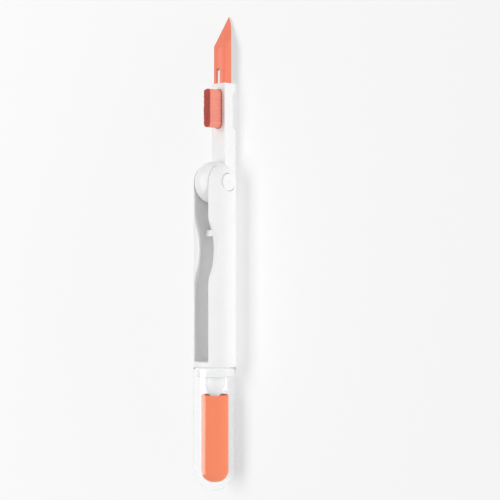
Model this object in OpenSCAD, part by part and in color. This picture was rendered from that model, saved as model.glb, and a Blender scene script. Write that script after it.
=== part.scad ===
// Folding cleaning pen: a barrel with a storage channel, an arm that folds into it and carries
// a pointed nib and a bristle brush, and a flocked tip under a clear cap.
// The pen lies on its back with the channel facing up. X runs along the hinge pin, Y along the
// pen towards the nib, Z up. The arm is drawn unfolded, the cap is on.
// In the modules the hinge pin is the origin: p is measured along the pin, u along the pen, s up.

/* [Barrel] */
// Outside diameter of the barrel, of the arm's back and of the cap
barrel_d = 13.4; // [12.8:0.1:16]
// Width of the storage channel
slot_w = 6.5; // [5.8:0.1:7.2]
// Radius of the channel's lower corners
slot_corner_r = 0.5; // [0.3:0.1:2.5]
// Solid length between the channel and the barrel's lower end
end_web = 1.7; // [1.2:0.1:6]
// Room between the folded nib's point and the channel's lower end
tip_room = 3.2; // [1.5:0.1:8]
// How far the domed ends of the ears sit below a full ball about the pin
ear_drop = 0.15; // [0:0.05:0.8]
// Chamfer on the outer edges of the barrel and the arm
edge_chamfer = 0.3; // [0.1:0.05:0.5]

/* [Finger scallop] */
// Distance from the pin to the scallop's upper end
scallop_start = 10.3; // [8:0.1:16]
// Length of the scallop along the channel walls
scallop_len = 21.1; // [14:0.1:30]
// Depth of the scallop below the channel's edge
scallop_depth = 2.3; // [0.8:0.1:3]
// Radius of the rounded lips at the scallop's ends
scallop_lip_r = 6; // [2:0.5:10]

/* [Rest rib] */
// Thickness of the cross rib that the folded arm rests on
rib_t = 1.9; // [1:0.1:3]
// Gap between the rib and the folded brush
rib_gap = 0.5; // [0.3:0.1:1.5]

/* [Hinge] */
// Diameter of the steel hinge pin
pin_d = 2.4; // [1.6:0.1:3]
// Diameter of the round covers over the pin's ends
cover_d = 5.4; // [4.4:0.1:6.2]
// Thickness of a cover's rim inside the ear
cover_t = 1; // [0.6:0.1:1.4]
// How far a cover's rim stands out of the ear
cover_rise = 0.3; // [0:0.05:0.4]
// Height of a cover's domed face
cover_dome = 0.2; // [0.1:0.05:0.25]
// Length of the peg behind a cover
cover_peg = 0.6; // [0.3:0.1:1]
// Width of the fine gap around a cover
cover_gap = 0.15; // [0.1:0.05:0.3]

/* [Arm] */
// Length of the arm from the pin to its end
arm_len = 31.2; // [29:0.1:40]
// How far the arm's front face lies behind the pen's axis
arm_setback = 1.4; // [0.8:0.05:1.8]
// Length of the stop heel beyond the pin
heel_len = 3.9; // [3:0.1:5]
// How much lower the knuckle's sides are than its middle
knuckle_crown = 0.9; // [0.3:0.05:1.3]
// Radius of the arm's front edges
arm_edge_r = 0.2; // [0.1:0.05:0.6]
// Distance from the arm's end to the grip recess in its back
grip_inset = 2.5; // [1.5:0.1:5]
// Length of the grip recess
grip_len = 12.2; // [6:0.1:16]
// Depth of the grip recess
grip_depth = 1; // [0.4:0.1:1.5]

/* [Nib] */
// Width of the nib
nib_w = 4.9; // [3.4:0.1:5.4]
// Thickness of the nib from its flat front to its round back
nib_t = 4.7; // [3.6:0.1:4.9]
// Length of the nib beyond the arm
nib_len = 21.3; // [16:0.1:28]
// Length of the slanted face, up to a sharp point
bevel_len = 10.4; // [6:0.1:12]
// Angle between the pen's axis and each side facet of the point, seen from the front
point_half_angle = 22; // [15:1:35]
// How far the side facets lean towards the front
facet_lean = 20; // [0:1:30]
// How much of the sharp point is blunted off
tip_blunt = 0.3; // [0.1:0.05:0.8]
// How far the nib's front face lies behind the arm's
nib_setback = 0.1; // [0.05:0.05:0.6]
// Chamfer along the nib's front edges
nib_chamfer = 0.5; // [0.1:0.05:0.7]
// Width of the arm's tongue inside the nib
tongue_w = 1.4; // [1:0.1:2.4]
// Length of the tongue
tongue_len = 4.6; // [3:0.1:6]
// Thickness of the tongue
tongue_t = 2.2; // [1.4:0.1:2.6]
// Slanted corner of the tongue's nose
tongue_slant = 0.7; // [0.2:0.1:1.2]
// How far the tongue lies behind the nib's front face
tongue_sink = 0.35; // [0.1:0.05:0.6]

/* [Brush] */
// Width of the bristle block
brush_w = 3; // [2:0.1:3.6]
// Length of the bristle block
brush_len = 12; // [8:0.1:13]
// Radius of the bristle block's corners
brush_corner_r = 1; // [0.4:0.1:1.2]
// Distance from the arm's end to the bristle block
brush_inset = 2; // [1:0.1:4]
// Free length of the bristles
bristle_len = 4.9; // [3:0.1:5.2]
// Number of strands across the block
strands_across = 7; // [6:1:8]
// Number of strands along the block
strands_along = 45; // [44:1:60]
// Share of its cell that a strand fills
strand_fill = 0.72; // [0.5:0.02:0.85]
// Thickness of a strand's tip compared with its root
strand_taper = 0.8; // [0.5:0.05:1]
// Thickness of the slice of backing that the strands grow from
slice_t = 0.4; // [0.2:0.1:0.6]
// Depth of the brush pocket in the arm
pocket_depth = 2; // [1.2:0.1:2.4]
// Margin of the brush carrier around the bristles
carrier_margin = 0.15; // [0.1:0.05:0.5]

/* [Flocked tip] */
// Length of the spigot that takes the cap
spigot_len = 3; // [2.4:0.1:5]
// Diameter of the neck
neck_d = 6.6; // [5:0.1:8]
// Length of the neck
neck_len = 2.5; // [1:0.1:4]
// Length of the cone below the neck
cone_len = 3.2; // [2:0.1:5]
// Diameter of the cone's small end
cone_end_d = 3.7; // [3.3:0.1:4.8]
// Diameter of the core rod inside the sponge
core_d = 2.9; // [2:0.1:3.2]
// Length of the core rod
core_len = 20; // [12:0.5:22]
// Diameter of the stem's root in the spigot
root_d = 4; // [3:0.1:5]
// Plastic left above the stem's root
root_floor = 0.8; // [0.5:0.1:1.5]
// Diameter of the flocked sponge
tip_d = 8.7; // [6:0.1:10]
// Length of the flocked sponge
tip_len = 27.3; // [24:0.1:36]
// Radius of the sponge's rounded end
tip_round = 3.5; // [1.5:0.1:4]

/* [Cap] */
// Wall of the cap
cap_wall = 0.65; // [0.5:0.05:1]
// Room between the sponge's end and the cap
cap_room = 2.05; // [1:0.05:5]
// Gap between the cap's mouth and the barrel
mouth_gap = 0.1; // [0.1:0.05:0.5]
// Chamfer on the two edges of the cap's mouth
mouth_chamfer = 0.2; // [0.1:0.05:0.3]
// Height of the spigot's retaining bead
bead_h = 0.15; // [0.1:0.05:0.3]
// Width of the bead's flat top
bead_w = 0.5; // [0.3:0.1:1]

/* [Clearances] */
// Gap around pieces that are pressed together
seat_gap = 0.03; // [0.02:0.01:0.06]
// Radial clearance of the knuckle on the pin
hinge_fit = 0.05; // [0.02:0.01:0.1]
// Radial clearance of the cap on the bead
cap_fit = 0.06; // [0.03:0.01:0.1]
// Gap on each side of the arm in the channel
side_gap = 0.25; // [0.15:0.05:0.4]
// Gap between the knuckle and the channel's floor
knuckle_gap = 0.3; // [0.2:0.05:0.6]
// Gap at the arm's two stops
stop_gap = 0.1; // [0.08:0.01:0.3]
// Gap between the folded bristles and the channel's floor
floor_gap = 0.45; // [0.3:0.05:1]

/* [Hidden] */
// Facets of a full turn, for plain rounds and for long shallow arcs
$fn = 72;
arc_fn = 360;

white = "#f5f5f4";
orange = "#f08a6c";
bristle_red = "#e06a58";
flock_orange = "#fb8f66";
steel = "#b8bbc0";
clear = [0.90, 0.95, 0.97, 0.35];

// How far a cut runs past the surface that it opens, and how far a rib or tongue is rooted
past = 1;
rooted = 0.2;

barrel_r = barrel_d / 2;
pin_r = pin_d / 2;
cover_r = cover_d / 2;
arm_w = slot_w - 2 * side_gap;
nib_tip = arm_len + nib_len;
barrel_len = nib_tip + tip_room + end_web;
spigot_end = barrel_len + spigot_len;
neck_end = spigot_end + neck_len;
cone_end = neck_end + cone_len;
tip_end = cone_end + tip_len;
cap_end = tip_end + cap_room + cap_wall;
mid_u = (nib_tip - cap_end) / 2;

slot_end = end_web - barrel_len;
wall_top = sqrt(pow(barrel_r, 2) - pow(slot_w / 2, 2));
brush_end = arm_len - brush_inset;
brush_start = brush_end - brush_len;
brush_mid = (brush_start + brush_end) / 2;
bristle_top = bristle_len - arm_setback;
channel_floor = -(bristle_top + floor_gap);
rib_top = arm_setback - stop_gap;
rib_end = rib_gap - brush_start;
stop_u = -(heel_len + stop_gap);

cover_face = sqrt(pow(barrel_r, 2) - pow(cover_r + cover_gap, 2));
cover_seat = cover_face - cover_t;

nib_front = -(arm_setback + nib_setback);
nib_back = nib_front - nib_t;
bevel_start = nib_tip + tip_blunt - bevel_len;
tongue_top = nib_front - tongue_sink;
tongue_bottom = tongue_top - tongue_t;

carrier_w = brush_w + 2 * carrier_margin;
carrier_len = brush_len + 2 * carrier_margin;
carrier_corner_r = brush_corner_r + carrier_margin;
pocket_floor = -(arm_setback + pocket_depth);
slice_bottom = -(arm_setback + slice_t);

cap_inner_r = barrel_r - cap_wall;
bead_r = cap_inner_r - cap_fit;
spigot_r = bead_r - bead_h;
bead_u = -(barrel_len + spigot_len / 2);

// Radius of an arc from its half chord and its rise
function arc_r(half_chord, rise) = (pow(half_chord, 2) + pow(rise, 2)) / (2 * rise);

// Sets the pen down on its back, with the middle of its length over the origin
module on_floor() { translate([0, -mid_u, barrel_r]) children(); }

// Turns a shape that stands on Z to lie along the pen
module along_pen() { rotate([-90, 0, 0]) children(); }

// Turns a shape that stands on Z to lie along the hinge pin
module along_pin() { rotate([0, 90, 0]) children(); }

// Extrudes a side view, drawn as [u, s], across the pen
module across_pen(width) { rotate([90, 0, 90]) linear_extrude(height = width, center = true) children(); }

// Extrudes a cross-section, drawn as [p, s], along the pen
module section_along(from, to) {
    translate([0, to, 0]) rotate([90, 0, 0]) linear_extrude(height = to - from) children();
}

// Raises a plan, drawn as [p, u], from one height to another
module raised_plan(from, to) { translate([0, 0, from]) linear_extrude(height = to - from) children(); }

// Half outline of a rod with a ball end, for a revolve: from u = top down to u = bottom
module ball_end_half(r, top, bottom) {
    translate([0, bottom + r]) square([r, top - bottom - r]);
    intersection() {
        translate([0, bottom + r]) circle(r);
        translate([0, bottom]) square([r, r]);
    }
}

// Plan of a box with rounded corners, lying along the pen
module round_box(width, length, corner_r) {
    square([width, length - 2 * corner_r], center = true);
    square([width - 2 * corner_r, length], center = true);
    for (side = [-1, 1]) for (end = [-1, 1])
        translate([side * (width / 2 - corner_r), end * (length / 2 - corner_r)]) circle(corner_r);
}

// Outer form of the barrel with its domed end and the cap's spigot
module barrel_half() {
    polygon([
        [0, -spigot_end], [spigot_r - edge_chamfer, -spigot_end], [spigot_r, edge_chamfer - spigot_end],
        [spigot_r, bead_u - bead_w / 2 - bead_h], [bead_r, bead_u - bead_w / 2],
        [bead_r, bead_u + bead_w / 2], [spigot_r, bead_u + bead_w / 2 + bead_h],
        [spigot_r, -barrel_len], [barrel_r - edge_chamfer, -barrel_len],
        [barrel_r, edge_chamfer - barrel_len], [barrel_r, -ear_drop], [0, -ear_drop]
    ]);
    translate([0, -ear_drop]) intersection() {
        circle(barrel_r);
        square(barrel_r);
    }
}

// Plan of the storage channel, open at the hinge end
module channel_plan() {
    half = slot_w / 2;
    corner_u = slot_end + slot_corner_r;
    translate([-half, corner_u]) square([slot_w, barrel_r + past - corner_u]);
    translate([slot_corner_r - half, slot_end]) square([slot_w - 2 * slot_corner_r, slot_corner_r + past]);
    for (side = [-1, 1]) translate([side * (half - slot_corner_r), corner_u]) circle(slot_corner_r);
}

// Side view of the finger scallop: one long arc that runs into a rounded lip at each end
module scallop_side() {
    half = scallop_len / 2;
    mid = -(scallop_start + half);
    both_r = arc_r(half, scallop_depth);
    long_r = both_r - scallop_lip_r;
    long_s = wall_top - scallop_depth + long_r;
    lip_s = wall_top - scallop_lip_r;
    meet_s = long_s + (lip_s - long_s) * long_r / both_r;
    translate([mid, long_s]) circle(long_r, $fn = arc_fn);
    for (side = [-1, 1]) difference() {
        translate([mid + (side - 1) / 2 * half, meet_s]) square([half, barrel_r + past - meet_s]);
        translate([mid + side * half, lip_s]) circle(scallop_lip_r);
    }
}

// Bores and counterbores of the two ears
module hinge_bores() {
    along_pin() cylinder(r = pin_r + seat_gap, h = barrel_d + 2 * past, center = true);
    for (side = [0, 1]) mirror([side, 0, 0])
        along_pin() translate([0, 0, cover_seat]) cylinder(r = cover_r + cover_gap, h = barrel_r);
}

module handle_barrel() {
    color(white) on_floor() {
        difference() {
            along_pen() rotate_extrude() barrel_half();
            raised_plan(channel_floor, barrel_r + past) channel_plan();
            raised_plan(-barrel_r - past, 0)
                translate([-slot_w / 2, stop_u]) square([slot_w, barrel_r + past - stop_u]);
            along_pin() cylinder(r = barrel_r + knuckle_gap, h = slot_w, center = true);
            across_pen(barrel_d + 2 * past) scallop_side();
            hinge_bores();
            along_pen() translate([0, 0, -spigot_end - past])
                cylinder(r = root_d / 2 + seat_gap, h = spigot_len + end_web - root_floor + past);
        }
        rest_rib();
    }
}

// Cross rib in the channel that the folded arm rests on
module rest_rib() {
    raised_plan(channel_floor - rooted, rib_top)
        translate([-slot_w / 2 - rooted, rib_end]) square([slot_w + 2 * rooted, rib_t]);
}

module hinge_pin() {
    color(steel) on_floor() along_pin()
        cylinder(r = pin_r, h = 2 * (cover_seat - cover_peg), center = true);
}

// Round cover with a low dome outside and a peg inside, on the +X end of the pin
module pin_cover() {
    dome_r = arc_r(cover_r, cover_dome);
    rim = cover_t + cover_rise;
    along_pin() translate([0, 0, cover_seat]) rotate_extrude() {
        translate([0, -cover_peg]) square([pin_r, cover_peg]);
        square([cover_r, rim]);
        intersection() {
            translate([0, rim + cover_dome - dome_r]) circle(dome_r, $fn = arc_fn);
            translate([0, rim]) square([cover_r, cover_dome]);
        }
    }
}

module pin_cover_right() { color(white) on_floor() pin_cover(); }

module pin_cover_left() { color(white) on_floor() mirror([1, 0, 0]) pin_cover(); }

module tip_stem() {
    root_end = barrel_len - end_web + root_floor;
    color(white) on_floor() along_pen() rotate_extrude() polygon([
        [0, -root_end], [root_d / 2, -root_end], [root_d / 2, -spigot_end], [neck_d / 2, -spigot_end],
        [neck_d / 2, -neck_end], [cone_end_d / 2, -cone_end], [core_d / 2, -cone_end],
        [core_d / 2, -cone_end - core_len], [0, -cone_end - core_len]
    ]);
}

module flocked_tip() {
    r = tip_d / 2;
    round_u = tip_round - tip_end;
    color(flock_orange) on_floor() along_pen() difference() {
        rotate_extrude() {
            translate([0, round_u]) square([r, tip_len - tip_round]);
            translate([0, -tip_end]) square([r - tip_round, tip_round]);
            intersection() {
                translate([r - tip_round, round_u]) circle(tip_round);
                translate([0, -tip_end]) square([r, tip_round]);
            }
        }
        translate([0, 0, -cone_end - core_len - seat_gap])
            cylinder(r = core_d / 2 + seat_gap, h = core_len + seat_gap + past);
    }
}

// Crowned drum that turns on the pin
module knuckle() {
    crown_r = arc_r(arm_w / 2, knuckle_crown);
    along_pin() rotate_extrude() intersection() {
        translate([0, -arm_w / 2]) square([barrel_r, arm_w]);
        translate([barrel_r - crown_r, 0]) circle(crown_r, $fn = arc_fn);
    }
}

// Cross-section of the arm in front of its round back: flat face with rounded edges
module arm_section() {
    half = arm_w / 2;
    low = -barrel_r - past;
    edge_s = -arm_setback - arm_edge_r;
    translate([-half, low]) square([arm_w, edge_s - low]);
    translate([arm_edge_r - half, low]) square([arm_w - 2 * arm_edge_r, -arm_setback - low]);
    for (side = [-1, 1]) translate([side * (half - arm_edge_r), edge_s]) circle(arm_edge_r);
}

// Beam of the arm, whose back follows the barrel's round, from the heel to the nib
module beam() {
    intersection() {
        along_pen() rotate_extrude() polygon([
            [0, -heel_len], [barrel_r - edge_chamfer, -heel_len], [barrel_r, edge_chamfer - heel_len],
            [barrel_r, arm_len - edge_chamfer], [barrel_r - edge_chamfer, arm_len], [0, arm_len]
        ]);
        section_along(-heel_len - past, arm_len + past) arm_section();
    }
}

// Tongue at the arm's end, with a slanted nose, that the nib is pushed over
module tongue() {
    nose_u = arm_len + tongue_len;
    across_pen(tongue_w) polygon([
        [arm_len - rooted, tongue_bottom], [nose_u, tongue_bottom], [nose_u, tongue_top - tongue_slant],
        [nose_u - tongue_slant, tongue_top], [arm_len - rooted, tongue_top]
    ]);
}

// Recess round the arm's back, with sloping ends, for the fingers that open the pen
module grip_recess() {
    top = arm_len - grip_inset;
    bottom = top - grip_len;
    along_pen() rotate_extrude() polygon([
        [barrel_r - grip_depth, bottom + grip_depth], [barrel_r + past, bottom - past],
        [barrel_r + past, top + past], [barrel_r - grip_depth, top - grip_depth]
    ]);
}

module arm_beam() {
    color(white) on_floor() difference() {
        union() {
            knuckle();
            beam();
            tongue();
        }
        along_pin() cylinder(r = pin_r + hinge_fit, h = arm_w + 2 * past, center = true);
        grip_recess();
        raised_plan(pocket_floor, past) translate([0, brush_mid])
            round_box(carrier_w + 2 * seat_gap, carrier_len + 2 * seat_gap, carrier_corner_r + seat_gap);
    }
}

// Cross-section of the nib: flat front with chamfered edges, straight sides and a round back
module nib_section() {
    half = nib_w / 2;
    round_s = nib_back + half;
    polygon([
        [-half, round_s], [half, round_s], [half, nib_front - nib_chamfer], [half - nib_chamfer, nib_front],
        [nib_chamfer - half, nib_front], [-half, nib_front - nib_chamfer]
    ]);
    translate([0, round_s]) circle(half);
}

// What lies beyond the point's side facet on the +X side
module beyond_facet() {
    reach = 2 * nib_len;
    translate([0, nib_tip + tip_blunt, nib_back]) rotate([facet_lean, 0, point_half_angle - 90])
        translate([-reach / 2, 0, -reach / 2]) cube(reach);
}

module nib() {
    over = past / bevel_len;
    high = [bevel_start - over * bevel_len, nib_front + over * nib_t];
    low = [bevel_start + (1 + over) * bevel_len, nib_back - over * nib_t];
    groove_floor = tongue_bottom - seat_gap;
    groove_end = arm_len + tongue_len + seat_gap;
    color(orange) on_floor() difference() {
        section_along(arm_len, nib_tip) nib_section();
        across_pen(nib_w + 2 * past) polygon([high, low, [low[0], high[1]]]);
        for (side = [0, 1]) mirror([side, 0, 0]) beyond_facet();
        across_pen(tongue_w + 2 * seat_gap) polygon([
            [arm_len - past, groove_floor], [groove_end, groove_floor],
            [groove_end, nib_front + past], [arm_len - past, nib_front + past]
        ]);
    }
}

module brush_carrier() {
    color(orange) on_floor() raised_plan(pocket_floor, slice_bottom)
        translate([0, brush_mid]) round_box(carrier_w, carrier_len, carrier_corner_r);
}

// Half width of the bristle block at a distance from its middle
function block_half(v) =
    let (into_end = max(0, abs(v) - brush_len / 2 + brush_corner_r))
    brush_w / 2 - brush_corner_r + sqrt(max(0, pow(brush_corner_r, 2) - pow(into_end, 2)));

// Corner of a bristle cell, counted across and along the block
function cell_corner(i, j) =
    let (v = (2 * j / strands_along - 1) * brush_len / 2)
    [(2 * i / strands_across - 1) * block_half(v), brush_mid + v];

// Three-sided outline of the strand in a cell, drawn in from the cell's sides by a share
function strand_outline(i, j, share) =
    let (
        a = cell_corner(i, j),
        b = cell_corner(i + 1, j),
        c = cell_corner(i + 1, j + 1),
        d = cell_corner(i, j + 1),
        middle = (a + b + c + d) / 4
    )
    [for (corner = [(a + b) / 2, c, d]) middle + share * (corner - middle)];

module brush_bristles() {
    sides = 3;
    row = strands_across + 1;
    corners = row * (strands_along + 1);
    function at(i, j) = j * row + i;
    function root(i, j) = 2 * corners + 2 * sides * (j * strands_across + i);
    function raised(outline, s) = [for (q = outline) [q[0], q[1], s]];

    cells = [for (j = [0 : strands_along - 1]) for (i = [0 : strands_across - 1]) [i, j]];
    grid = [for (j = [0 : strands_along]) for (i = [0 : strands_across]) cell_corner(i, j)];
    strands = [for (k = cells) each concat(
        raised(strand_outline(k[0], k[1], strand_fill), -arm_setback),
        raised(strand_outline(k[0], k[1], strand_fill * strand_taper), bristle_top)
    )];
    // The slice's rim, counter-clockwise seen from above
    rim = concat(
        [for (i = [0 : strands_across - 1]) at(i, 0)],
        [for (j = [0 : strands_along - 1]) at(strands_across, j)],
        [for (i = [strands_across : -1 : 1]) at(i, strands_along)],
        [for (j = [strands_along : -1 : 1]) at(0, j)]
    );
    rim_next = [for (k = [1 : len(rim)]) rim[k % len(rim)]];

    top_faces = [for (k = cells) let (
        a = at(k[0], k[1]), b = at(k[0] + 1, k[1]), c = at(k[0] + 1, k[1] + 1), d = at(k[0], k[1] + 1),
        p = root(k[0], k[1]), q = p + 1, r = p + 2
    ) each [[a, b, p], [b, q, p], [b, c, q], [c, r, q], [c, d, r], [d, p, r], [d, a, p]]];
    strand_faces = [for (k = cells) let (p = root(k[0], k[1])) each concat(
        [for (m = [0 : sides - 1]) [p + m, p + (m + 1) % sides, p + sides + (m + 1) % sides]],
        [for (m = [0 : sides - 1]) [p + m, p + sides + (m + 1) % sides, p + sides + m]],
        [[for (m = [0 : sides - 1]) p + sides + m]]
    )];
    bottom_faces = [for (k = cells) let (
        a = corners + at(k[0], k[1]), b = a + 1, d = a + row, c = d + 1
    ) each [[a, d, c], [a, c, b]]];
    rim_faces = [for (k = [0 : len(rim) - 1]) each [
        [corners + rim[k], corners + rim_next[k], rim_next[k]], [corners + rim[k], rim_next[k], rim[k]]
    ]];

    color(bristle_red) on_floor() polyhedron(
        points = concat(raised(grid, -arm_setback), raised(grid, slice_bottom), strands),
        faces = [for (f = concat(top_faces, strand_faces, bottom_faces, rim_faces)) [f[2], f[1], f[0]]]
    );
}

module clear_cap() {
    mouth = -(barrel_len + mouth_gap);
    lip = mouth_chamfer + past;
    color(clear) on_floor() along_pen() rotate_extrude() difference() {
        ball_end_half(barrel_r, mouth, -cap_end);
        ball_end_half(cap_inner_r, mouth + past, cap_wall - cap_end);
        polygon([
            [barrel_r - lip, mouth + past], [barrel_r + past, mouth + past], [barrel_r + past, mouth - lip]
        ]);
        polygon([
            [cap_inner_r + lip, mouth + past], [cap_inner_r - past, mouth + past],
            [cap_inner_r - past, mouth - lip]
        ]);
    }
}

handle_barrel();
hinge_pin();
pin_cover_right();
pin_cover_left();
tip_stem();
flocked_tip();
arm_beam();
nib();
brush_carrier();
brush_bristles();
clear_cap();
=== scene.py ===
"""Dresses the folding cleaning pen.

Satin white barrel and arm, coral nib, brush and flocked tip, clear cap.
"""

import math
import random

import bmesh
import bpy
from mathutils import Matrix, Vector


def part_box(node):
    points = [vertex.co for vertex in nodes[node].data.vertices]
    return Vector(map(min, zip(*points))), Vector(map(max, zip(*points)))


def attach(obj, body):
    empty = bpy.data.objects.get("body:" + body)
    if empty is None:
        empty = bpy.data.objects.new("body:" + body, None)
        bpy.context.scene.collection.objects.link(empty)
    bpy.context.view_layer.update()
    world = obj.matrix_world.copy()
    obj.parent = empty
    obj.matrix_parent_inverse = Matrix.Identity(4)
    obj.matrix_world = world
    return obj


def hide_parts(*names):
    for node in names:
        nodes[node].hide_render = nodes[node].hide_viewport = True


MM = 0.001
SEED = 11

# Camera, from the photograph: square on to the pen, half way between the channel and the hinge pin
LENS_MM = 98.6
SENSOR_MM = 36.0
CAMERA_DISTANCE = 0.428
CAMERA_BACK = Vector((1, 0, 1)).normalized()
CAMERA_UP = Vector((0, 1, 0))
CAMERA_TARGET = Vector((0.00777, 0.0008, -0.00107))

# Studio: a key lamp high over the channel, a low fill lamp on the pin's side, and a white sheet whose glow
# is a share near the pen and rises to plain white between the two distances of its fade
KEY_PLACE = (-0.37, 0.06, 0.90)
KEY_SIZE = (1.1, 0.5)
KEY_WATTS = 6.0
FILL_PLACE = (0.95, 0.0, 0.07)
FILL_SIZE = (1.2, 0.12)
FILL_WATTS = 4.3
SKY_STRENGTH = 0.40
FLOOR_HALF = 3.0
SWEEP_GLOW = 0.45
SWEEP_FADE = (0.22, 0.6)

# Colours
PLAIN_WHITE = (1.0, 1.0, 1.0, 1.0)
PAPER_LIGHT, PAPER_DULL = (0.985, 0.985, 0.985, 1.0), (0.975, 0.975, 0.975, 1.0)
WHITE_LIGHT, WHITE_DULL = (0.915, 0.915, 0.918, 1.0), (0.895, 0.896, 0.9, 1.0)
CORAL_LIGHT, CORAL_DULL = (0.93, 0.235, 0.135, 1.0), (0.89, 0.21, 0.118, 1.0)
FILAMENT_PALE, FILAMENT_DULL = (1.0, 0.40, 0.31, 1.0), (0.97, 0.35, 0.26, 1.0)
# Painted shade: the darker coral of the filaments' roots and cut ends
FILAMENT_ROOT_SHADE, FILAMENT_CUT_SHADE = (0.55, 0.15, 0.11, 1.0), (0.60, 0.078, 0.05, 1.0)
FLOCK_LIGHT, FLOCK_DULL = (1.0, 0.215, 0.07, 1.0), (0.96, 0.185, 0.056, 1.0)
FLOCK_TIPS, FLOCK_SHEEN = (1.0, 0.28, 0.12, 1.0), (1.0, 0.72, 0.6, 1.0)
# Painted shade: the dark coral of the cut foam in the sleeve's dish
FOAM_SHADE_CELL, FOAM_SHADE_WALL = (0.24, 0.055, 0.026, 1.0), (0.40, 0.10, 0.05, 1.0)
STEEL_DARK, STEEL_LIGHT = (0.50, 0.51, 0.53, 1.0), (0.62, 0.63, 0.65, 1.0)
CLEAR_TINT = (0.99, 0.995, 1.0, 1.0)

# Moulded edges: how wide they are rounded, and the angle past which an edge counts as sharp, less on the
# nib, whose facets meet its round back. Triangles within the flat angle are one face.
BARREL_EDGE = 0.12 * MM
SMALL_EDGE = 0.1 * MM
EDGE_SEGMENTS = 3
SHARP_ANGLE = math.radians(32)
NIB_SHARP_ANGLE = math.radians(22)
FLAT_ANGLE = math.radians(0.4)
MERGE_DISTANCE = 0.001 * MM

# Sponge sleeve: both corners of its rim are rounded, each by less than half the rim's width. A face that
# looks up, and lies below the rim by more than the dish's edge, is cut foam, coloured dark as painted
# shade.
SLEEVE_BORE = 1.5 * MM
SLEEVE_DISH = 0.45 * MM
SLEEVE_RIM = 0.3 * MM
SLEEVE_RIM_RADIUS = 0.14 * MM
SLEEVE_RIM_SEGMENTS = 4
SLEEVE_END_RADIUS = 3.4 * MM
SLEEVE_END_SEGMENTS = 14
SLEEVE_CUTS = 40
SLEEVE_STEPS = 96
DISH_EDGE = SLEEVE_DISH / 4
DISH_FACING = 0.5
FOAM_SHADE_PLACE = 1

# Pile on the sleeve
PILE_LENGTH = 0.16 * MM
PILE_SUNK = 0.05 * MM
PILE_RADIUS = 0.022 * MM
PILE_SIDES = 3
PILE_COUNT = 15000
PILE_LEAN = 0.3
PILE_SHORTEST = 0.75
PILE_LEAST_SHARE = 0.02

# Cap: its wall, lip and ball end, and how often light may turn in the wall before it passes on
CAP_WALL = 0.65 * MM
CAP_LIP = 0.2 * MM
CAP_LIP_SEGMENTS = 4
CAP_BALL_SEGMENTS = 24
CAP_CUTS = 30
CAP_STEPS = 180
CAP_BOUNCES = 5

# Brush: its filaments, the depths below the cut ends and above the roots between which painted shade
# darkens their colour, and the slice of backing that they grow from
FILAMENT_PITCH = 0.15 * MM
FILAMENT_RADIUS = 0.088 * MM
FILAMENT_TAPER = 0.85
FILAMENT_SIDES = 6
FILAMENT_LEAN = math.radians(0.25)
FILAMENT_SHORT = 0.12 * MM
FILAMENT_STRAY = 0.02 * MM
CUT_END_SHADE_BAND = (0.35 * MM, 0.1 * MM)
ROOT_SHADE_BAND = (0.15 * MM, 0.8 * MM)
BRUSH_CORNER = 1.0 * MM
BRUSH_CORNER_SEGMENTS = 6
SLICE_DEPTH = 0.4 * MM

# Sockets of a Mix node that blends colours, by number because its other types share their names
MIX_SHARE, MIX_FIRST, MIX_SECOND, MIX_RESULT = 0, 6, 7, 2

random.seed(SEED)
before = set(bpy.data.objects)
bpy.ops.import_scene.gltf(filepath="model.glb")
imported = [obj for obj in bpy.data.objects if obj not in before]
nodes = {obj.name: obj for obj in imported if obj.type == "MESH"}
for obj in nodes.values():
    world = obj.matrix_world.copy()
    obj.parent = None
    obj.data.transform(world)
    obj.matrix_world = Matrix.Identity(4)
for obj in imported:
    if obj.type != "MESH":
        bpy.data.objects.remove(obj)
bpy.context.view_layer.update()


# Materials

def any_of(tree, first, *others):
    """1 where any of the given outputs is 1."""
    either = first
    for other in others:
        larger = tree.nodes.new("ShaderNodeMath")
        larger.operation = "MAXIMUM"
        tree.links.new(either, larger.inputs[0])
        tree.links.new(other, larger.inputs[1])
        either = larger.outputs[0]
    return either


def mix_shaders(tree, share, first, second, end):
    """Joins two shaders, by the second one's share, to the node that ends a tree."""
    mix = tree.nodes.new("ShaderNodeMixShader")
    for source, socket in zip((share, first.outputs[0], second.outputs[0]), mix.inputs):
        tree.links.new(source, socket)
    tree.links.new(mix.outputs[0], end.inputs["Surface"])


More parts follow.
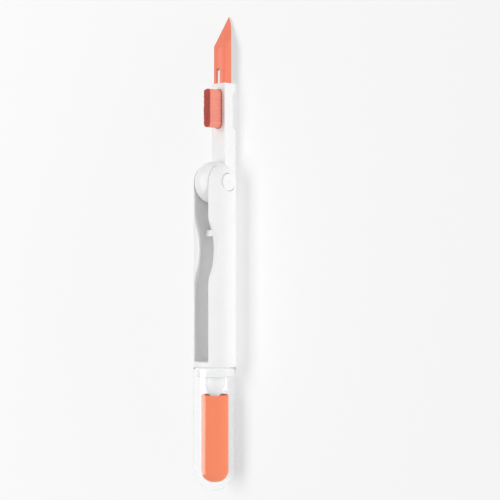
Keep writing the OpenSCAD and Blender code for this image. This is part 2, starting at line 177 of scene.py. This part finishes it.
class Finish:
    """A material under construction: a Principled shader with the pattern nodes that feed it."""

    def __init__(self, name, **sockets):
        self.material = bpy.data.materials.new(name)
        self.material.use_nodes = True
        self.tree = self.material.node_tree
        self.shader = self.tree.nodes["Principled BSDF"]
        self.coordinates = self.tree.nodes.new("ShaderNodeTexCoord").outputs["Object"]
        for socket, value in sockets.items():
            self.shader.inputs[socket.replace("_", " ")].default_value = value

    def add(self, kind, operation=None, **inputs):
        node = self.tree.nodes.new(kind)
        if operation:
            node.operation = operation
        for socket, value in inputs.items():
            self.feed(node.inputs[socket.replace("_", " ")], value)
        return node

    def feed(self, socket, value):
        if isinstance(value, bpy.types.NodeSocket):
            self.tree.links.new(value, socket)
        else:
            socket.default_value = value

    def noise(self, scale, detail, roughness=0.55, stretch=None):
        place = self.coordinates
        if stretch:
            place = self.add("ShaderNodeMapping", Vector=place, Scale=stretch).outputs["Vector"]
        pattern = self.add(
            "ShaderNodeTexNoise", Vector=place, Scale=scale, Detail=detail, Roughness=roughness,
        )
        return pattern.outputs["Fac"]

    def spread(self, value, between, gives=(0, 1)):
        """Maps a value in one range to another, held at its ends."""
        low, high = between
        at_low, at_high = gives
        ranged = self.add(
            "ShaderNodeMapRange", Value=value, From_Min=low, From_Max=high, To_Min=at_low, To_Max=at_high,
        )
        return ranged.outputs["Result"]

    def blend(self, share, first, second):
        mix = self.tree.nodes.new("ShaderNodeMix")
        mix.data_type = "RGBA"
        self.feed(mix.inputs[MIX_SHARE], share)
        self.feed(mix.inputs[MIX_FIRST], first)
        self.feed(mix.inputs[MIX_SECOND], second)
        return mix.outputs[MIX_RESULT]

    def axis(self, letter):
        return self.add("ShaderNodeSeparateXYZ", Vector=self.coordinates).outputs[letter]

    def colour(self, value):
        self.feed(self.shader.inputs["Base Color"], value)

    def roughness(self, value):
        self.feed(self.shader.inputs["Roughness"], value)

    def bump(self, height, strength, depth, under=None):
        relief = self.add("ShaderNodeBump", Height=height, Strength=strength, Distance=depth)
        if under:
            self.feed(relief.inputs["Normal"], under)
        self.feed(self.shader.inputs["Normal"], relief.outputs["Normal"])
        return relief.outputs["Normal"]

    def give_way(self, share, other):
        """Shows another shader in place of the Principled one, by a share."""
        mix_shaders(self.tree, share, self.shader, other, self.tree.nodes["Material Output"])


def moulded_white():
    """Satin white plastic with a fine spark-eroded grain and faint handling marks."""
    finish = Finish("satin_white_plastic", IOR=1.5)
    cloud = finish.noise(scale=160, detail=4)
    grain = finish.noise(scale=5200, detail=2, roughness=0.6)
    rubbed = finish.noise(scale=700, detail=5, stretch=(1.0, 0.25, 1.0))
    finish.colour(finish.blend(finish.spread(cloud, between=(0.35, 0.7)), WHITE_LIGHT, WHITE_DULL))
    finish.roughness(finish.spread(rubbed, between=(0.3, 0.7), gives=(0.36, 0.48)))
    fine = finish.bump(grain, strength=0.12, depth=0.04 * MM)
    finish.bump(cloud, strength=0.06, depth=0.6 * MM, under=fine)
    return finish.material


def moulded_coral():
    """Coral plastic of the nib, a little translucent, with flow marks along its length."""
    finish = Finish("satin_coral_plastic", IOR=1.5, Subsurface_Weight=0.08, Subsurface_Scale=0.8 * MM)
    flow = finish.noise(scale=900, detail=4, stretch=(1.0, 0.12, 1.0))
    grain = finish.noise(scale=5600, detail=2)
    finish.colour(finish.blend(finish.spread(flow, between=(0.3, 0.7)), CORAL_LIGHT, CORAL_DULL))
    finish.roughness(finish.spread(grain, between=(0.3, 0.7), gives=(0.42, 0.54)))
    finish.bump(grain, strength=0.12, depth=0.04 * MM)
    return finish.material


def filament_coral(low, top):
    """Nylon filaments: pale along their length, with painted shade where they are set and at the cut ends.
    """
    finish = Finish("coral_filaments", IOR=1.53, Subsurface_Weight=0.1, Subsurface_Scale=0.3 * MM)
    strand = finish.noise(scale=5200, detail=1, stretch=(1.0, 1.0, 0.02))
    side = finish.blend(finish.spread(strand, between=(0.35, 0.65)), FILAMENT_PALE, FILAMENT_DULL)
    height = finish.axis("Z")
    # Painted shade: the filaments darken towards their roots and at their cut ends
    cut_end_shade = finish.spread(height, between=[top - depth for depth in CUT_END_SHADE_BAND])
    root_shade = finish.spread(height, between=[low + depth for depth in ROOT_SHADE_BAND], gives=(1, 0))
    root_shaded = finish.blend(root_shade, side, FILAMENT_ROOT_SHADE)
    finish.colour(finish.blend(cut_end_shade, root_shaded, FILAMENT_CUT_SHADE))
    finish.roughness(finish.spread(strand, between=(0.3, 0.7), gives=(0.38, 0.55)))
    return finish.material


def flock_coral():
    """Velvety flock: mottled by the lie of the pile, with a soft sheen."""
    finish = Finish(
        "coral_flock", Roughness=0.95, IOR=1.35, Specular_IOR_Level=0.15,
        Sheen_Weight=0.25, Sheen_Roughness=0.45, Sheen_Tint=FLOCK_SHEEN,
    )
    lie = finish.noise(scale=420, detail=4, roughness=0.6, stretch=(1.0, 0.5, 1.0))
    pile = finish.noise(scale=4200, detail=2)
    mottled = finish.blend(finish.spread(lie, between=(0.3, 0.7)), FLOCK_LIGHT, FLOCK_DULL)
    tips = finish.spread(pile, between=(0.35, 0.65), gives=(0, 0.35))
    finish.colour(finish.blend(tips, mottled, FLOCK_TIPS))
    finish.bump(pile, strength=0.35, depth=0.08 * MM)
    return finish.material


def painted_shade_foam():
    """Cut foam in the sleeve's dished top: open cells, painted darker than the flock as the shade in the
    dish.
    """
    finish = Finish("coral_foam_painted_shade", Roughness=1.0, Specular_IOR_Level=0.1)
    cells = finish.add("ShaderNodeTexVoronoi", Vector=finish.coordinates, Scale=4500.0).outputs["Distance"]
    finish.colour(finish.blend(finish.spread(cells, between=(0.1, 0.6)), FOAM_SHADE_CELL, FOAM_SHADE_WALL))
    finish.bump(cells, strength=0.5, depth=0.1 * MM)
    return finish.material


def clear_shell():
    """Clear polished plastic. Lamp light passes through, and so does light long trapped in its wall."""
    finish = Finish("clear_polished_plastic", IOR=1.49, Transmission_Weight=1.0, Base_Color=CLEAR_TINT)
    haze = finish.noise(scale=300, detail=3)
    finish.roughness(finish.spread(haze, between=(0.4, 0.8), gives=(0.015, 0.05)))
    finish.bump(finish.noise(scale=90, detail=1), strength=0.01, depth=0.4 * MM)
    path = finish.tree.nodes.new("ShaderNodeLightPath").outputs
    trapped = finish.add("ShaderNodeMath", operation="GREATER_THAN")
    finish.feed(trapped.inputs[0], path["Ray Depth"])
    finish.feed(trapped.inputs[1], CAP_BOUNCES)
    passing = any_of(finish.tree, trapped.outputs[0], path["Is Shadow Ray"], path["Is Diffuse Ray"])
    finish.give_way(passing, finish.add("ShaderNodeBsdfTransparent"))
    return finish.material


def drawn_steel():
    """Drawn steel wire of the hinge pin, with lines along it."""
    finish = Finish("drawn_steel", Metallic=1.0)
    lines = finish.noise(scale=6000, detail=2, stretch=(0.03, 1.0, 1.0))
    finish.colour(finish.blend(lines, STEEL_DARK, STEEL_LIGHT))
    finish.roughness(finish.spread(lines, between=(0.3, 0.7), gives=(0.22, 0.4)))
    finish.bump(lines, strength=0.1, depth=0.03 * MM)
    return finish.material


def paper_floor():
    """White sheet on a glowing table: it keeps the pen's shadow, softened, and fades to plain white."""
    finish = Finish("white_sweep", Roughness=0.95, Specular_IOR_Level=0.0)
    fibre = finish.noise(scale=240, detail=4)
    finish.colour(finish.blend(fibre, PAPER_LIGHT, PAPER_DULL))
    away = finish.add("ShaderNodeVectorMath", operation="LENGTH", Vector=finish.coordinates)
    lit = finish.spread(away.outputs["Value"], between=SWEEP_FADE, gives=(SWEEP_GLOW, 1))
    finish.give_way(lit, finish.add("ShaderNodeEmission", Color=PLAIN_WHITE, Strength=1.0))
    return finish.material


# Pieces

def show(name, bm, material):
    """Makes an object of a finished bmesh, its place in its mesh."""
    mesh = bpy.data.meshes.new(name)
    bm.to_mesh(mesh)
    bm.free()
    mesh.materials.append(material)
    piece = bpy.data.objects.new(name, mesh)
    bpy.context.scene.collection.objects.link(piece)
    return piece


def smooth(mesh):
    for face in mesh.polygons:
        face.use_smooth = True


def ease_edges(node, width, sharp):
    """Joins a CAD node's triangles and rounds its sharp edges as moulded ones are."""
    join = node.modifiers.new("join_corners", "WELD")
    join.merge_threshold = MERGE_DISTANCE
    flat = node.modifiers.new("flat_faces", "DECIMATE")
    flat.decimate_type = "DISSOLVE"
    flat.angle_limit = FLAT_ANGLE
    ease = node.modifiers.new("moulded_edges", "BEVEL")
    ease.width = width
    ease.segments = EDGE_SEGMENTS
    ease.limit_method = "ANGLE"
    ease.angle_limit = sharp
    ease.harden_normals = True
    smooth(node.data)


def dress(name, material, edge=None, sharp=SHARP_ANGLE):
    """Gives a CAD node its material, and moulded edges where a width is given."""
    node = nodes[name]
    node.data.materials.clear()
    node.data.materials.append(material)
    if edge:
        ease_edges(node, edge, sharp)


def throw_no_tint(piece):
    """Keeps a coral piece's colour off the white sheet. Its shadow stays."""
    piece.visible_diffuse = False


def settle(bm):
    """Puts a shape's corners and faces in one fixed order, which spin and bevel leave to chance."""
    for place, corner in enumerate(sorted(bm.verts, key=lambda v: v.co[:])):
        corner.index = place
    bm.verts.sort()
    for place, face in enumerate(sorted(bm.faces, key=lambda f: sorted(v.index for v in f.verts))):
        face.index = place
    bm.faces.sort()


def turned(axis, outline, roundings, cuts, steps):
    """Turns a half outline about the pen's axis, with its corners rounded and its long sides divided."""
    bm = bmesh.new()
    corners = [bm.verts.new((axis.x + radius, along, axis.z)) for radius, along in outline]
    for first, second in zip(corners, corners[1:]):
        bm.edges.new((first, second))
    for places, radius, segments in roundings:
        bmesh.ops.bevel(
            bm, geom=[corners[place] for place in places], offset=radius, offset_type="OFFSET",
            affect="VERTICES", segments=segments, profile=0.5, material=-1,
        )
    outer = max(radius for radius, along in outline)
    long_sides = [edge for edge in bm.edges if edge.calc_length() > outer]
    bmesh.ops.subdivide_edges(bm, edges=long_sides, cuts=cuts)
    bmesh.ops.spin(
        bm, geom=bm.verts[:] + bm.edges[:], cent=(axis.x, 0, axis.z), axis=(0, 1, 0),
        angle=2 * math.pi, steps=steps, use_merge=True,
    )
    bmesh.ops.remove_doubles(bm, verts=bm.verts[:], dist=MERGE_DISTANCE)
    bmesh.ops.recalc_face_normals(bm, faces=bm.faces[:])
    settle(bm)
    return bm


def tapered_seed(name, sides, foot_radius, tip_radius, length, sunk=0.0, closed=False):
    """A mesh of one fibre or filament that stands on the origin, or is sunk a little below it."""
    bm = bmesh.new()
    bmesh.ops.create_cone(
        bm, cap_ends=closed, segments=sides, radius1=foot_radius, radius2=tip_radius, depth=length,
    )
    bmesh.ops.translate(bm, verts=bm.verts[:], vec=(0, 0, length / 2 - sunk))
    seed = bpy.data.meshes.new(name)
    bm.to_mesh(seed)
    bm.free()
    return seed


def plant(bm, seed, place):
    """Adds a copy of a seed to a bmesh at a place."""
    seed.transform(place)
    bm.from_mesh(seed)
    seed.transform(place.inverted())


def sleeve_body():
    """The sponge sleeve, turned from its half outline: dished top, straight side and rounded end."""
    low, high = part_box("flocked_tip")
    axis = (low + high) / 2
    outer = (high.x - low.x) / 2 - PILE_LENGTH + PILE_SUNK
    top, bottom = high.y - PILE_SUNK, low.y + PILE_LENGTH - PILE_SUNK
    outline = [
        (SLEEVE_BORE, top - SLEEVE_DISH), (outer - SLEEVE_RIM - SLEEVE_DISH, top - SLEEVE_DISH),
        (outer - SLEEVE_RIM, top), (outer, top), (outer, bottom), (0, bottom),
    ]
    roundings = [
        ((4,), SLEEVE_END_RADIUS, SLEEVE_END_SEGMENTS), ((2, 3), SLEEVE_RIM_RADIUS, SLEEVE_RIM_SEGMENTS),
    ]
    return turned(axis, outline, roundings, SLEEVE_CUTS, SLEEVE_STEPS)


def flocked_sleeve(flock, shade_foam_material):
    """The sleeve, flocked all over but for the cut foam in its dish, coloured as painted shade, and the
    pile that stands on it.
    """
    bm = sleeve_body()
    rim_y = max(v.co.y for v in bm.verts)
    spots = []
    for face in bm.faces:
        # Faces in the dish take the foam coloured as painted shade
        if face.normal.y > DISH_FACING and face.calc_center_median().y < rim_y - DISH_EDGE:
            face.material_index = FOAM_SHADE_PLACE
        else:
            spots.append((face.normal.copy(), face.calc_area(), [v.co.copy() for v in face.verts]))
    sleeve = show("flocked_sleeve", bm, flock)
    sleeve.data.materials.append(shade_foam_material)
    smooth(sleeve.data)
    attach(sleeve, "handle")
    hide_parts("flocked_tip")

    pile = show("flock_pile", pile_fibres(spots), flock)
    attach(pile, "handle")
    for coral_piece in (sleeve, pile):
        throw_no_tint(coral_piece)


def pile_fibres(spots):
    """Short fibres that stand on the sleeve's skin, each leaning a little its own way."""
    fibre = tapered_seed("fibre_seed", PILE_SIDES, PILE_RADIUS, 0, PILE_LENGTH, sunk=PILE_SUNK)
    bm = bmesh.new()
    weights = [area for normal, area, ring in spots]
    for normal, area, ring in random.choices(spots, weights=weights, k=PILE_COUNT):
        shares = [random.random() + PILE_LEAST_SHARE for corner in ring]
        foot = sum((corner * share for corner, share in zip(ring, shares)), Vector()) / sum(shares)
        lean = Vector([random.gauss(0, PILE_LEAN) for letter in "XYZ"])
        stand = (normal + lean).normalized().to_track_quat("Z", "Y").to_matrix().to_4x4()
        shrink = Matrix.Scale(random.uniform(PILE_SHORTEST, 1.0), 4)
        plant(bm, fibre, Matrix.Translation(foot) @ stand @ shrink)
    bpy.data.meshes.remove(fibre)
    return bm


def cap_shell(material):
    """The clear cap, turned from its wall: rounded lip, straight side and ball end."""
    low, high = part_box("clear_cap")
    axis = (low + high) / 2
    outer = (high.x - low.x) / 2
    inner = outer - CAP_WALL
    outline = [
        (0, low.y + CAP_WALL), (inner, low.y + CAP_WALL), (inner, high.y),
        (outer, high.y), (outer, low.y), (0, low.y),
    ]
    roundings = [
        ((1,), inner, CAP_BALL_SEGMENTS), ((2,), CAP_LIP, CAP_LIP_SEGMENTS),
        ((3,), CAP_LIP, CAP_LIP_SEGMENTS), ((4,), outer, CAP_BALL_SEGMENTS),
    ]
    cap = show("cap_shell", turned(axis, outline, roundings, CAP_CUTS, CAP_STEPS), material)
    smooth(cap.data)
    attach(cap, "cap")
    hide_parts("clear_cap")


def brush_slab(low, high):
    """The slice of backing that the filaments grow from."""
    bm = bmesh.new()
    size = high - low
    place = Matrix.Translation(((low.x + high.x) / 2, (low.y + high.y) / 2, low.z + SLICE_DEPTH / 2))
    bmesh.ops.create_cube(bm, size=1, matrix=place @ Matrix.Diagonal((size.x, size.y, SLICE_DEPTH, 1)))
    upright = [e for e in bm.edges if abs(e.verts[0].co.z - e.verts[1].co.z) > SLICE_DEPTH / 2]
    bmesh.ops.bevel(
        bm, geom=upright, offset=BRUSH_CORNER, offset_type="OFFSET", affect="EDGES",
        segments=BRUSH_CORNER_SEGMENTS, profile=0.5, material=-1,
    )
    settle(bm)
    return bm


def inside_block(across, along, half_width, half_length):
    """Whether a spot lies within the block's outline, whose corners are round."""
    over_x = max(0.0, abs(across) - half_width + BRUSH_CORNER)
    over_y = max(0.0, abs(along) - half_length + BRUSH_CORNER)
    return math.hypot(over_x, over_y) <= BRUSH_CORNER


def stray():
    """A filament's small shift off its row or column."""
    return random.uniform(-FILAMENT_STRAY, FILAMENT_STRAY)


def brush_filaments(material):
    """A close block of fine filaments with the outline of the CAD brush."""
    low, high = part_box("brush_bristles")
    middle = (low + high) / 2
    half_width = (high.x - low.x) / 2 - FILAMENT_RADIUS
    half_length = (high.y - low.y) / 2 - FILAMENT_RADIUS
    height = high.z - low.z - SLICE_DEPTH / 2
    tip_radius = FILAMENT_RADIUS * FILAMENT_TAPER
    filament = tapered_seed(
        "filament_seed", FILAMENT_SIDES, FILAMENT_RADIUS, tip_radius, height, closed=True,
    )
    bm = brush_slab(low, high)
    rows = int(2 * half_length / FILAMENT_PITCH)
    columns = int(2 * half_width / FILAMENT_PITCH)
    for row in range(rows + 1):
        for column in range(columns + 1):
            across = (2 * column / columns - 1) * half_width + stray()
            along = (2 * row / rows - 1) * half_length + stray()
            if not inside_block(across, along, half_width, half_length):
                continue
            foot = Vector((middle.x + across, middle.y + along, low.z + SLICE_DEPTH / 2))
            lean = Matrix.Rotation(random.gauss(0, 1) * FILAMENT_LEAN, 4, "X")
            lean = lean @ Matrix.Rotation(random.gauss(0, 1) * FILAMENT_LEAN, 4, "Y")
            shrink = Matrix.Scale(1 - random.random() * FILAMENT_SHORT / height, 4, (0, 0, 1))
            turn = Matrix.Rotation(random.uniform(0, 2 * math.pi), 4, "Z")
            plant(bm, filament, Matrix.Translation(foot) @ lean @ turn @ shrink)
    bpy.data.meshes.remove(filament)
    brush = show("brush_filaments", bm, material)
    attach(brush, "arm")
    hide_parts("brush_bristles")


# Studio

def photo_camera():
    data = bpy.data.cameras.new("photo_camera")
    data.lens = LENS_MM
    data.sensor_width = SENSOR_MM
    camera = bpy.data.objects.new("photo_camera", data)
    bpy.context.scene.collection.objects.link(camera)
    right = CAMERA_UP.cross(CAMERA_BACK)
    turn = Matrix((right, CAMERA_UP, CAMERA_BACK)).transposed()
    camera.matrix_world = Matrix.Translation(CAMERA_TARGET + CAMERA_BACK * CAMERA_DISTANCE) @ turn.to_4x4()
    bpy.context.scene.camera = camera


def softbox(name, place, size, watts, mirrored):
    """A large lamp that faces the pen, its long side along the pen. Only a mirrored one shows in gloss."""
    data = bpy.data.lights.new(name, "AREA")
    data.shape = "RECTANGLE"
    data.size, data.size_y = size
    data.energy = watts
    lamp = bpy.data.objects.new(name, data)
    lamp.visible_camera = False
    lamp.visible_glossy = mirrored
    lamp.visible_transmission = mirrored
    back = Vector(place).normalized()
    along = Vector((0, 1, 0)) - back * back.y
    along.normalize()
    turn = Matrix((along, back.cross(along), back)).transposed()
    lamp.matrix_world = Matrix.Translation(place) @ turn.to_4x4()
    bpy.context.scene.collection.objects.link(lamp)


def white_surround():
    """An even sky for light, and plain white where it is seen, mirrored or looked at through the cap."""
    world = bpy.data.worlds.new("studio")
    world.use_nodes = True
    tree = world.node_tree
    sky = tree.nodes["Background"]
    sky.inputs["Color"].default_value = PLAIN_WHITE
    sky.inputs["Strength"].default_value = SKY_STRENGTH
    plain = tree.nodes.new("ShaderNodeBackground")
    plain.inputs["Color"].default_value = PLAIN_WHITE
    plain.inputs["Strength"].default_value = 1.0
    path = tree.nodes.new("ShaderNodeLightPath").outputs
    seen = any_of(tree, path["Is Camera Ray"], path["Is Glossy Ray"], path["Is Transmission Ray"])
    mix_shaders(tree, seen, sky, plain, tree.nodes["World Output"])
    bpy.context.scene.world = world


def sweep():
    """The white sheet that the pen lies on."""
    bm = bmesh.new()
    bmesh.ops.create_grid(bm, x_segments=1, y_segments=1, size=FLOOR_HALF)
    show("white_sweep", bm, paper_floor())


white = moulded_white()
coral = moulded_coral()
dress("handle_barrel", white, edge=BARREL_EDGE)
for white_piece in ("arm_beam", "pin_cover_right", "pin_cover_left", "tip_stem"):
    dress(white_piece, white, edge=SMALL_EDGE)
dress("nib", coral, edge=SMALL_EDGE, sharp=NIB_SHARP_ANGLE)
throw_no_tint(nodes["nib"])
dress("brush_carrier", coral)
dress("hinge_pin", drawn_steel())
cap_shell(clear_shell())
brush_filaments(filament_coral(*(corner.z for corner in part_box("brush_bristles"))))
flocked_sleeve(flock_coral(), painted_shade_foam())

photo_camera()
sweep()
softbox("key_lamp", KEY_PLACE, KEY_SIZE, KEY_WATTS, mirrored=True)
softbox("fill_lamp", FILL_PLACE, FILL_SIZE, FILL_WATTS, mirrored=False)
white_surround()
bpy.context.scene.view_settings.view_transform = "Standard"
